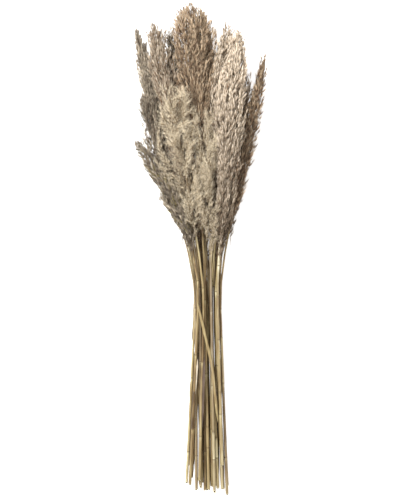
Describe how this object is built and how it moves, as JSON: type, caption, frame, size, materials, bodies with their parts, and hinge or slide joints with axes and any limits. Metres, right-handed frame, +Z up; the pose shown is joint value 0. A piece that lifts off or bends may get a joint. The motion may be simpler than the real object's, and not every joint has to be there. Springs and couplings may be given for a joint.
{
  "type": "bundle of dried reed plumes",
  "caption": "Loose bundle of dried pampas-type reeds lying down: hollow jointed straw stems that cross at a narrow waist and fan out into a head of feathery beige plumes.",
  "frame": {"origin": "on the surface that the bundle lies on, under the middle of its bounding box", "axes": "+Y along the bundle from the cut ends to the plumes, +Z up from the surface, +X across the head"},
  "size_m": [0.264, 1, 0.1165],
  "materials": {
    "culm": "dry straw, silky sheen, fine lengthwise streaks",
    "leaf": "dried leaf, matte, veined lengthwise",
    "plume_cream": "fluffy seed hairs, matte cream",
    "plume_light": "dry spikelets, matte light beige",
    "plume_warm": "dry spikelets, matte warm brown",
    "plume_grey": "dry spikelets, matte grey brown"
  },
  "bodies": {
    "root": {"stem_01": "culm", "plume_01": "plume_grey", "stem_02": "culm", "plume_02": "plume_warm", "stem_03": "culm", "plume_03": "plume_warm", "stem_04": "culm", "plume_04": "plume_light", "stem_05": "culm", "plume_05": "plume_grey", "stem_06": "culm", "plume_06": "plume_grey", "stem_07": "culm", "plume_07": "plume_grey", "stem_08": "culm", "plume_08": "plume_light", "stem_09": "culm", "plume_09": "plume_warm", "stem_10": "culm", "plume_10": "plume_light", "stem_11": "culm", "plume_11": "plume_grey", "stem_12": "culm", "plume_12": "plume_light", "stem_13": "culm", "plume_13": "plume_warm", "stem_14": "culm", "plume_14": "plume_light", "stem_15": "culm", "plume_15": "plume_light", "stem_16": "culm", "plume_16": "plume_warm", "stem_17": "culm", "plume_17": "plume_grey", "stem_18": "culm", "plume_18": "plume_cream", "stem_19": "culm", "plume_19": "plume_cream", "stem_20": "culm", "plume_20": "plume_light", "leaf_01": "leaf", "leaf_02": "leaf", "leaf_03": "leaf"}
  },
  "joints": []
}
